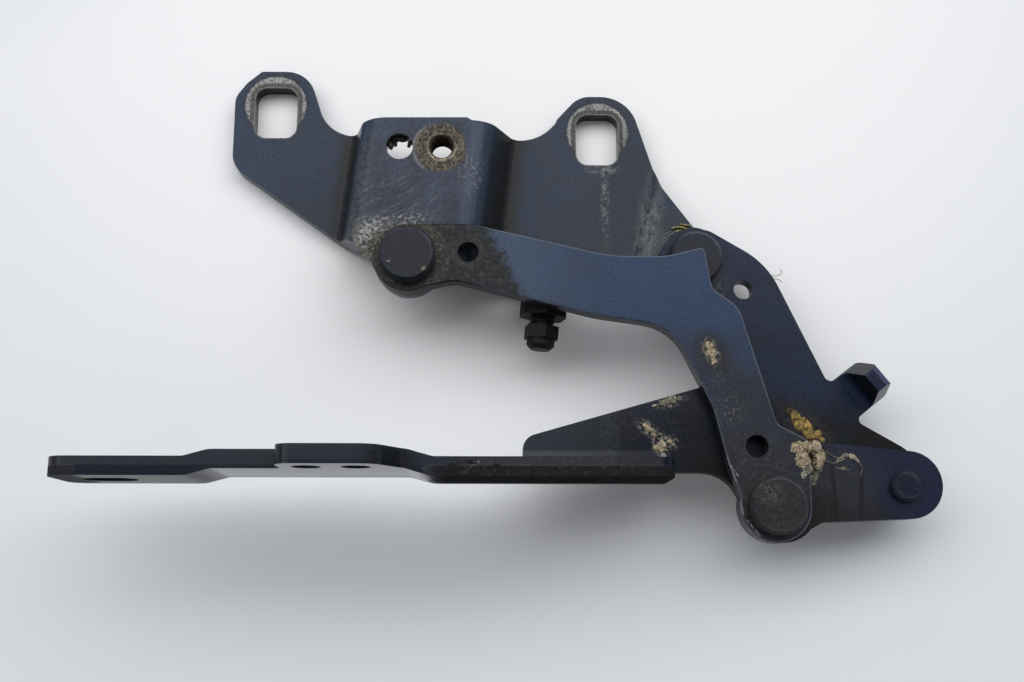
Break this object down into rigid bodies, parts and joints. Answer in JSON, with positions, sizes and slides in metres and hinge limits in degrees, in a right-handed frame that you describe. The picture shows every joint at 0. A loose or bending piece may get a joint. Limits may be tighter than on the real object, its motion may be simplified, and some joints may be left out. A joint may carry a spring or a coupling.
{
  "type": "bonnet hinge",
  "caption": "Four-bar vehicle bonnet hinge: stamped body bracket, front and rear links and a flanged bonnet bracket on shouldered rivets, with a screw stop.",
  "frame": {"origin": "centre of the front body slot, on the face that bolts to the vehicle body", "axes": "+X from the front slot towards the rear slot, +Y away from the bonnet (down in the vehicle), +Z away from the vehicle body, along the hinge axes"},
  "size_m": [0.2184, 0.1324, 0.057],
  "materials": {
    "ecoat_black": "satin",
    "ecoat_blue_black": "satin",
    "ecoat_rivet": "satin",
    "bronze": "satin",
    "steel_worn": "satin",
    "phosphate_black": "matt"
  },
  "bodies": {
    "body": {"body_bracket": "ecoat_black", "rivet_a": "ecoat_rivet", "rivet_b": "ecoat_rivet", "strut_tapping_plate": "ecoat_black", "stop_screw": "phosphate_black", "stop_lock_nut": "phosphate_black", "washer_a": "steel_worn", "washer_b": "steel_worn"},
    "front_link_body": {"front_link": "ecoat_blue_black", "bush_a": "bronze", "bush_c": "bronze"},
    "bonnet_body": {"bonnet_bracket": "ecoat_black", "rivet_c": "ecoat_rivet", "washer_c": "steel_worn", "rivet_d_tail": "ecoat_rivet"},
    "rear_link_body": {"rear_link": "ecoat_black", "bush_b": "bronze", "bush_d": "bronze", "rivet_d_head": "ecoat_rivet", "washer_d": "steel_worn"}
  },
  "joints": [
    {"name": "front_link_at_a", "type": "hinge", "parent": "body", "child": "front_link_body", "pos_m": [0.039, -0.0472, 0.02175], "axis": [0, 0, 1], "range_deg": [-34.4, 7.2]},
    {"name": "bonnet_at_c", "type": "hinge", "parent": "front_link_body", "child": "bonnet_body", "pos_m": [0.1317, -0.111, 0.01625], "axis": [0, 0, 1], "range_deg": [-15.6, 73.3]},
    {"name": "rear_link_at_b", "type": "hinge", "parent": "body", "child": "rear_link_body", "pos_m": [0.115, -0.0447, 0.01075], "axis": [0, 0, 1], "range_deg": [-48.3, 10.3]}
  ],
  "couplings": [
    {"joint": "bonnet_at_c", "follows": "front_link_at_a", "ratio": -2.1215},
    {"joint": "rear_link_at_b", "follows": "front_link_at_a", "ratio": 1.397}
  ]
}
